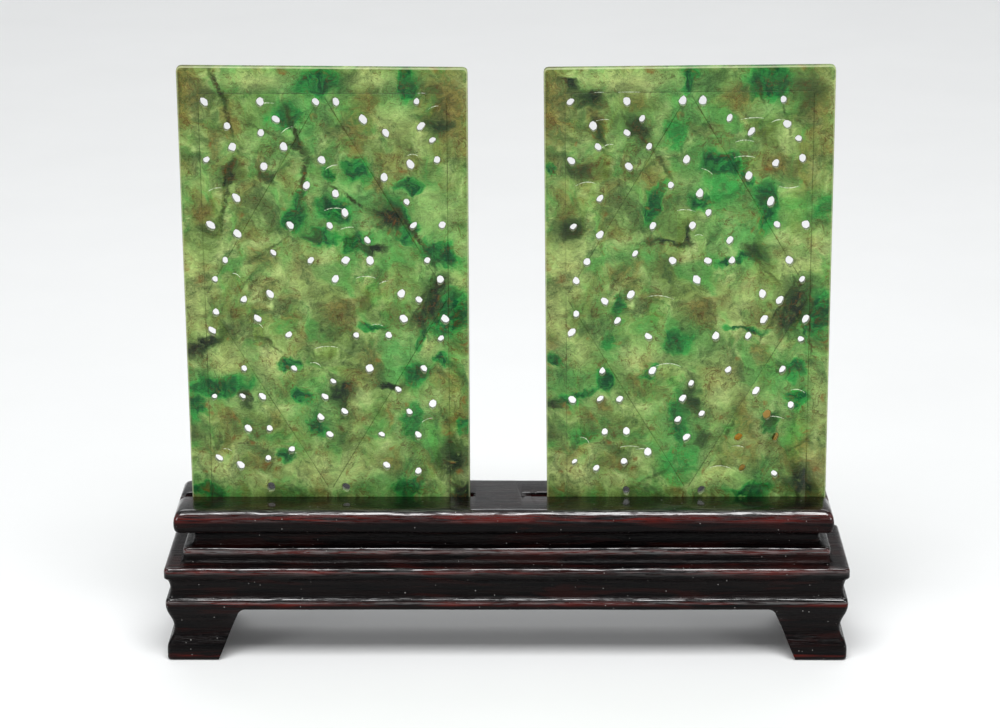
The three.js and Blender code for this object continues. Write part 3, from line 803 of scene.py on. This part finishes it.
def engraver(name, routes, depth, attribute):
    """A closed tool that ploughs a fine groove along each route on a plaque's front."""
    curve = bpy.data.curves.new("engraver", "CURVE")
    curve.dimensions = "2D"
    curve.fill_mode = "NONE"
    curve.bevel_depth = depth
    curve.bevel_resolution = 0
    curve.use_fill_caps = True
    for route in routes:
        spline = curve.splines.new("POLY")
        spline.points.add(len(route) - 1)
        for i, (point, (across, down)) in enumerate(zip(spline.points, route)):
            place = on_plaque(name, across, down)
            point.co = (place.x, place.z, 0, 1)
            swell = math.sin(math.pi * i / (len(route) - 1))
            point.radius = 1.0 if attribute == "line" else 0.35 + 0.65 * swell
    tool = bpy.data.objects.new("engraver", curve)
    bpy.context.collection.objects.link(tool)
    tool.location = (0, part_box(name)[0][1], 0)
    tool.rotation_euler = (math.pi / 2, 0, 0)
    take_up(tool)
    bpy.ops.object.convert(target="MESH")
    bpy.ops.object.transform_apply(location=True, rotation=True, scale=True)
    tool = bpy.context.object
    edit(tool)
    bpy.ops.mesh.select_all(action="SELECT")
    bpy.ops.mesh.remove_doubles(threshold=1e-7)
    bpy.ops.mesh.normals_make_consistent(inside=False)
    leave()
    mark_faces(tool, attribute, lambda face: 1.0)
    return tool


def mark_faces(piece, attribute, value):
    layer = piece.data.attributes.new(attribute, "FLOAT", "FACE")
    for face in piece.data.polygons:
        layer.data[face.index].value = value(face)


def frame_lines():
    """The incised frame's three sides, and the rhombus inside it."""
    left, right, middle = FRAME_SIDE, PLAQUE_WIDTH / MM - FRAME_SIDE, PLAQUE_WIDTH / MM / 2
    gap = LINE_GAP
    tips = [(middle, FRAME_TOP), (right, RHOMBUS_MIDDLE), (middle, RHOMBUS_FOOT), (left, RHOMBUS_MIDDLE)]
    lines = [
        [(left, FRAME_TOP + gap), (left, FRAME_FOOT)],
        [(right, FRAME_TOP + gap), (right, FRAME_FOOT)],
        [(left, FRAME_TOP), (right, FRAME_TOP)],
    ]
    for start, end in zip(tips, tips[1:] + tips[:1]):
        start, end = Vector(start), Vector(end)
        pull = (end - start).normalized() * 2 * gap
        lines.append([tuple(start + pull), tuple(end - pull)])
    return lines


def merged_copy(node, name):
    """A copy of a solid's mesh as a piece of its own, its loose triangles merged."""
    piece = bpy.data.objects[node].copy()
    piece.data = piece.data.copy()
    piece.name = name
    bpy.context.collection.objects.link(piece)
    edit(piece)
    bpy.ops.mesh.select_all(action="SELECT")
    bpy.ops.mesh.remove_doubles(threshold=1e-6)
    leave()
    return piece


def keep_faces(piece, kept):
    edit(piece)
    choose(piece, faces=lambda f: not kept(f))
    bpy.ops.mesh.delete(type="FACE")
    bpy.ops.mesh.select_all(action="SELECT")


def make_drills(name, front, back, inside):
    """The plaque's piercings as closed tools, rounded, run out past both faces and flared at each rim."""
    drills = merged_copy(name, "drills")
    margin = 0.3 * MM

    def is_bore(face):
        middle = face.calc_center_median()
        return inside(middle) and (abs(face.normal.y) < 0.3 or front + margin < middle.y < back - margin)

    keep_faces(drills, is_bore)
    bpy.ops.mesh.select_mode(type="EDGE")
    for mouth, reach in ((front, -DRILL_REACH), (back, DRILL_REACH)):
        bpy.ops.mesh.select_all(action="DESELECT")
        choose(drills, edges=lambda e: e.is_boundary and all(abs(v.co.y - mouth) < CLOSE for v in e.verts))
        bpy.ops.mesh.extrude_region_move(TRANSFORM_OT_translate={"value": (0, reach, 0)})
    bpy.ops.mesh.select_all(action="SELECT")
    bpy.ops.mesh.fill_holes(sides=0)
    bpy.ops.mesh.select_all(action="SELECT")
    bpy.ops.mesh.normals_make_consistent(inside=False)
    bpy.ops.mesh.select_all(action="DESELECT")
    bpy.ops.mesh.select_mode(type="EDGE")
    choose(drills, edges=lambda e: abs(e.verts[0].co.y - e.verts[1].co.y) > margin)
    bpy.ops.mesh.bevel(offset=WALL_ROUND, segments=2, affect="EDGES")
    for mouth, inward in ((front, 1), (back, -1)):
        for depth in (0, RIM_BEVEL):
            bpy.ops.mesh.select_all(action="SELECT")
            bpy.ops.mesh.bisect(plane_co=(0, mouth + inward * depth, 0), plane_no=(0, 1, 0))
        bpy.ops.mesh.select_mode(type="VERT")
        for vertex in fresh_form(drills).verts:
            vertex.select_set((vertex.co.y - mouth) * inward < CLOSE)
        show_form(drills)
        bpy.ops.transform.shrink_fatten(value=RIM_BEVEL)
        bpy.ops.mesh.select_mode(type="EDGE")
    leave()
    mark_faces(drills, "rim", lambda f: float(0.3 < abs(f.normal.y) < 0.9))
    mark_faces(drills, "pit", lambda f: float(abs(f.normal.y) > 0.9 and front < f.center.y < back))
    # The bore walls, which the jade lightens as painted light
    mark_faces(drills, "bore", lambda f: float(abs(f.normal.y) < 0.3))
    return drills


def make_plaque(name, material):
    """The solid slice again with rounded piercings, softened rims and edges, and its incised lines."""
    low, high = (Vector(corner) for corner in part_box(name))
    front, back = low.y, high.y
    least, most = low + Vector((1, 1, 1)) * PLAQUE_MARGIN, high - Vector((1, 1, 1)) * PLAQUE_MARGIN

    def inside(point):
        return least.x < point.x < most.x and least.z < point.z < most.z

    piece = merged_copy(name, "jade_slice_" + name.removeprefix("plaque_"))
    keep_faces(piece, lambda f: abs(f.normal.y) < 0.985 and not inside(f.calc_center_median()))
    bpy.ops.mesh.fill_holes(sides=0)
    bpy.ops.mesh.select_all(action="SELECT")
    bpy.ops.mesh.dissolve_limited(angle_limit=math.radians(0.5))
    bpy.ops.mesh.select_all(action="SELECT")
    bpy.ops.mesh.normals_make_consistent(inside=False)
    leave()
    ease_edges(piece, EDGE_BEVEL, 30)
    for attribute in ("rim", "pit", "bore", "line", "painted_glint"):
        mark_faces(piece, attribute, lambda f: 0.0)
    # The bevelled edge faces, where the jade lays a painted highlight
    mark_faces(piece, "edge", lambda f: float(0.1 < abs(f.normal.y) < 0.98))
    cut(piece, make_drills(name, front, back, inside))
    cut(piece, engraver(name, frame_lines(), LINE_DEPTH, "line"))
    strokes = [stroke_points(*row) for row in STROKES[name]]
    # The strokes' grooves are marked for the painted glint
    cut(piece, engraver(name, strokes, LINE_DEPTH, "painted_glint"))
    smooth(piece, 20)
    piece.data.materials.clear()
    piece.data.materials.append(material)
    return piece


# Stand
class Pen:
    """Draws a moulding's profile as points of setback and height."""

    def __init__(self, setback, height):
        self.points = [Vector((setback, height))]

    def line(self, setback, height):
        self.points.append(Vector((setback, height)))

    def bow(self, control, end, steps=6):
        start, control, end = self.points[-1].copy(), Vector(control), Vector(end)
        for i in range(1, steps + 1):
            t = i / steps
            self.points.append(start.lerp(control, t).lerp(control.lerp(end, t), t))

    def sweep(self, first, second, end, steps=8):
        start = self.points[-1].copy()
        first, second, end = Vector(first), Vector(second), Vector(end)
        for i in range(1, steps + 1):
            t = i / steps
            a, b, c = start.lerp(first, t), first.lerp(second, t), second.lerp(end, t)
            self.points.append(a.lerp(b, t).lerp(b.lerp(c, t), t))


def stand_profile(top):
    """The stand's moulding from the floor up."""
    pen = Pen(TOE_SETBACK + TOE_ROUND, 0)
    pen.bow((TOE_SETBACK, 0), (TOE_SETBACK, TOE_ROUND), 4)
    pen.line(TOE_SETBACK, TOE_HEIGHT)
    pen.sweep(
        (TOE_SETBACK, TOE_HEIGHT + FOOT_FLARE),
        (FOOT_WAIST_SETBACK, FOOT_WAIST_HEIGHT - FOOT_FLARE),
        (FOOT_WAIST_SETBACK, FOOT_WAIST_HEIGHT),
    )
    pen.sweep(
        (FOOT_WAIST_SETBACK, FOOT_WAIST_HEIGHT + FOOT_FLARE),
        (BEAD_SETBACK, BEAD_NOSE_HEIGHT - FOOT_FLARE),
        (BEAD_SETBACK, BEAD_NOSE_HEIGHT),
    )
    pen.bow((BEAD_SETBACK, BEAD_TOP_HEIGHT), (BEAD_SETBACK + BEAD_DEPTH, BEAD_TOP_HEIGHT))
    pen.bow((2 * APRON_SETBACK - BEAD_DEPTH, (BEAD_TOP_HEIGHT + LEDGE_LEVEL) / 2), (BEAD_DEPTH, LEDGE_LEVEL))
    pen.line(0, LEDGE_LEVEL + BEAD_DEPTH)
    pen.line(0, LEDGE_TOP - LEDGE_ROUND)
    pen.bow((0, LEDGE_TOP), (LEDGE_ROUND, LEDGE_TOP))
    pen.line(RIDGE_SETBACK - COVE_REACH, LEDGE_TOP)
    pen.bow((RIDGE_SETBACK, LEDGE_TOP), (RIDGE_SETBACK, NECK_LEVEL - RIDGE_THICKNESS))
    pen.line(RIDGE_SETBACK, NECK_LEVEL - RIDGE_ROUND)
    pen.bow((RIDGE_SETBACK, NECK_LEVEL), (RIDGE_SETBACK + RIDGE_ROUND, NECK_LEVEL))
    waist = (NECK_LEVEL + SLAB_LEVEL) / 2
    pen.bow((NECK_SETBACK, NECK_LEVEL), (NECK_SETBACK, waist))
    pen.bow((NECK_SETBACK, SLAB_LEVEL), (SLAB_SETBACK + SLAB_UNDERCUT, SLAB_LEVEL))
    pen.bow((SLAB_SETBACK, SLAB_LEVEL), (SLAB_SETBACK, SLAB_LEVEL + SLAB_LOWER_ROUND))
    pen.bow((SLAB_SETBACK, top), (TOP_SETBACK, top), 8)
    return pen.points


def tunnel_tool(half_length, half_depth):
    """The open space between the feet: a box spread at its foot, its upper corners rounded."""
    floor_x, apron_x = half_length - FOOT_WIDTH_AT_FLOOR, half_length - FOOT_WIDTH_AT_APRON
    slope = (floor_x - apron_x) / FOOT_HEIGHT
    side_y = half_depth + CUT_MARGIN
    low, high = Vector((-apron_x, -side_y, -CUT_MARGIN)), Vector((apron_x, side_y, FOOT_HEIGHT))
    tool = box_tool(low * MM, high * MM)
    edit(tool)
    choose(tool, faces=lambda f: f.normal.z < -0.9)
    spread = (floor_x + slope * CUT_MARGIN) / apron_x
    bpy.ops.transform.resize(value=(spread, 1, 1), center_override=(0, 0, 0))
    bpy.ops.mesh.select_mode(type="EDGE")
    bpy.ops.mesh.select_all(action="DESELECT")

    def runs_through(edge):
        a, b = (v.co for v in edge.verts)
        return min(a.z, b.z) > 0 and abs(a.y - b.y) > MM

    choose(tool, edges=runs_through)
    bpy.ops.mesh.bevel(offset=TUNNEL_CORNER * MM, segments=5, affect="EDGES")
    leave()
    return tool


def slot_tools(slot, half_length, top):
    """A slot's saw kerf, and the shallow run-out that the saw left at its inner end."""
    side, inner = slot["side"], slot["inner"]
    kerf = sorted((side * inner * MM, side * (half_length + CUT_MARGIN) * MM))
    above = (top + CUT_MARGIN) * MM
    half = SLOT_WIDTH / 2 * MM
    sawn = box_tool((kerf[0], -half, (top - SLOT_DEPTH) * MM), (kerf[1], half, above))
    ramp_end = inner - slot["run_out"]
    span = sorted((side * ramp_end * MM, side * (inner + 1) * MM))
    ramp = box_tool((span[0], -0.8 * half, (top - RUN_OUT_DEPTH) * MM), (span[1], 0.8 * half, above))
    edit(ramp, "EDGE")

    def is_ramp_end(edge):
        return all(v.co.z < top * MM and abs(abs(v.co.x) - ramp_end * MM) < 1e-6 for v in edge.verts)

    choose(ramp, edges=is_ramp_end)
    bpy.ops.transform.translate(value=(0, 0, RUN_OUT_DEPTH * MM))
    leave()
    return [sawn, ramp]


def mark_gleam(piece, half_length, half_depth):
    """How near each point of the stand lies to a nose of its moulding, from 0 to 1."""
    layer = piece.data.attributes.new("gleam", "FLOAT", "POINT")
    for vertex in piece.data.vertices:
        place = vertex.co / MM
        setback = min(half_length - abs(place.x), half_depth - abs(place.y))
        near = 0.0
        for back, height, reach in GLEAMING:
            near = max(near, 1 - math.hypot(setback - back, place.z - height) / reach)
        layer.data[vertex.index].value = near


def make_stand(material):
    """The stand: its moulding drawn up from the floor, mitres softened, pared by hand, then cut."""
    low, high = (Vector(corner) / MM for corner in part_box("stand"))
    half_length, half_depth, top = high
    half_sizes = (half_length, half_depth)
    points = stand_profile(top)
    first = points[1]
    piece = box_tool(
        (-(half_length - first.x) * MM, -(half_depth - first.x) * MM, 0),
        ((half_length - first.x) * MM, (half_depth - first.x) * MM, first.y * MM),
    )
    piece.name = "moulded_stand"
    edit(piece)
    start = points[0]
    choose(piece, faces=lambda f: f.normal.z < -0.9)
    draw_in(half_sizes, first.x, start.x)
    bpy.ops.mesh.select_all(action="DESELECT")
    choose(piece, faces=lambda f: f.normal.z > 0.9)
    drift = 0.0
    for before, after in zip(points[1:], points[2:]):
        step = SLAB_DRIFT if before.y < SLAB_LEVEL <= after.y and not drift else 0.0
        drift += step
        bpy.ops.mesh.extrude_region_move(
            TRANSFORM_OT_translate={"value": (step * MM, 0, (after.y - before.y) * MM)}
        )
        draw_in(half_sizes, before.x, after.x, (drift * MM, 0, after.y * MM))
    bpy.ops.mesh.select_mode(type="EDGE")
    bpy.ops.mesh.select_all(action="DESELECT")

    def is_mitre(edge):
        a, b = (v.co for v in edge.verts)
        return a.x * b.x > 0 and a.y * b.y > 0

    choose(piece, edges=is_mitre)
    bpy.ops.mesh.bevel(offset=MITRE_ROUND * MM, segments=3, affect="EDGES")
    sections = int(half_length / SECTION_SPACING)
    for i in range(-sections, sections + 1):
        bpy.ops.mesh.select_all(action="SELECT")
        bpy.ops.mesh.bisect(plane_co=(i * SECTION_SPACING * MM, 0, 0), plane_no=(1, 0, 0))
    leave()

    noise.seed_set(HAND_SEED)
    for vertex in piece.data.vertices:
        place = vertex.co / MM
        if not 0.2 < place.z < top - 0.1:
            continue
        push = Vector((0, 0, 0))
        for wave, spread in ((HAND_WAVE, HAND_SPREAD), (GRAIN_WAVE, GRAIN_SPREAD)):
            push += noise.noise_vector(Vector([p / s for p, s in zip(place, spread)])) * wave
        moved = place + Vector((0.3 * push.x, push.y, 0.8 * push.z))
        for axis, half in enumerate(half_sizes):
            moved[axis] = max(-half, min(half, moved[axis]))
        vertex.co = moved * MM

    cut(piece, tunnel_tool(half_length, half_depth))
    for slot in SLOTS.values():
        for tool in slot_tools(slot, half_length, top):
            cut(piece, tool)
    ease_edges(piece, ARRIS_ROUND * MM, 50)
    smooth(piece, 40)
    mark_gleam(piece, half_length, half_depth)
    piece.data.materials.clear()
    piece.data.materials.append(material)
    return piece


# Studio
CAMERA_PIXELS = 2830
IMAGE_WIDTH = 1000
CAMERA_PITCH = math.radians(18.5)
CAMERA_YAW = math.radians(-0.67)
CAMERA_ROLL = math.radians(-0.26)
CAMERA_TARGET = Vector((-1.4, 0, 68.2)) * MM
CAMERA_DISTANCE = 652 * MM


def make_camera():
    camera = bpy.data.cameras.new("camera")
    camera.sensor_width = 36
    camera.lens = CAMERA_PIXELS * camera.sensor_width / IMAGE_WIDTH
    camera.clip_start = 0.01
    stand = bpy.data.objects.new("camera", camera)
    bpy.context.collection.objects.link(stand)
    aim = (
        Matrix.Rotation(-CAMERA_YAW, 4, "Z")
        @ Matrix.Rotation(math.pi / 2 - CAMERA_PITCH, 4, "X")
        @ Matrix.Rotation(CAMERA_ROLL, 4, "Z")
    )
    back = aim.to_3x3() @ Vector((0, 0, 1))
    stand.matrix_world = Matrix.Translation(CAMERA_TARGET + CAMERA_DISTANCE * back) @ aim
    bpy.context.scene.camera = stand


def make_sweep():
    """A pale floor that curves up into a wall behind."""
    bpy.ops.object.select_all(action="DESELECT")
    bpy.ops.mesh.primitive_plane_add(size=6, location=(0, -1.2, 0))
    sweep = bpy.context.object
    sweep.name = "paper_sweep"
    edit(sweep, "EDGE")
    choose(sweep, edges=lambda e: all(v.co.y > 0 for v in e.verts))
    radius = 0.9
    steps = 12
    for i in range(steps):
        a, b = math.pi / 2 * i / steps, math.pi / 2 * (i + 1) / steps
        move = (0, radius * (math.sin(b) - math.sin(a)), radius * (math.cos(a) - math.cos(b)))
        bpy.ops.mesh.extrude_region_move(TRANSFORM_OT_translate={"value": move})
    bpy.ops.mesh.extrude_region_move(TRANSFORM_OT_translate={"value": (0, 0, 2.5)})
    leave()
    bpy.ops.object.transform_apply(location=True, rotation=True, scale=True)
    smooth(sweep, 40)
    material, sheet, shader, objects = new_material("paper")
    tone = sheet.cloud(sheet.map(objects, (1 / MM, 1 / MM, 1 / MM)), 0.02, 3.0).outputs["Fac"]
    sheet.feed(shader.inputs["Base Color"], sheet.mix(tone, (0.86, 0.87, 0.87, 1), (0.9, 0.91, 0.91, 1)))
    shader.inputs["Roughness"].default_value = 0.7
    sweep.data.materials.append(material)


def make_light(name, place, target, size, power, colour=(1, 1, 1)):
    light = bpy.data.lights.new(name, "AREA")
    light.shape = "RECTANGLE"
    light.size, light.size_y = size
    light.energy = power
    light.color = colour
    holder = bpy.data.objects.new(name, light)
    bpy.context.collection.objects.link(holder)
    holder.location = place
    holder.rotation_euler = (Vector(target) - Vector(place)).to_track_quat("-Z", "Y").to_euler()


def make_world():
    world = bpy.data.worlds.new("room")
    world.use_nodes = True
    world.node_tree.nodes["Background"].inputs["Color"].default_value = (0.97, 0.98, 1, 1)
    world.node_tree.nodes["Background"].inputs["Strength"].default_value = 0.28
    bpy.context.scene.world = world
    bpy.context.scene.view_settings.view_transform = "Standard"


make_camera()
make_sweep()
make_world()
make_light("softbox", (0, -0.42, 0.95), (0, 0, 0), (0.9, 0.5), 10)
make_light("fill_left", (-1.2, -1.1, 0.6), (0, 0, 0.06), (0.6, 0.6), 4.5)
make_light("fill_right", (1.2, -1.1, 0.6), (0, 0, 0.06), (0.6, 0.6), 4)
make_light("backdrop", (0, 0.95, 1.1), (0, 0.9, 0), (1.8, 0.5), 6)

make_patch_group()
make_speck_group()
make_seam_group()
make_streak_group()
make_band_group()

for node in ("plaque_left", "plaque_right"):
    slice_piece = make_plaque(node, make_jade(node))
    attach(slice_piece, "root")
    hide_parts(node)
stand_piece = make_stand(make_hardwood())
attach(stand_piece, "root")
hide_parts("stand")
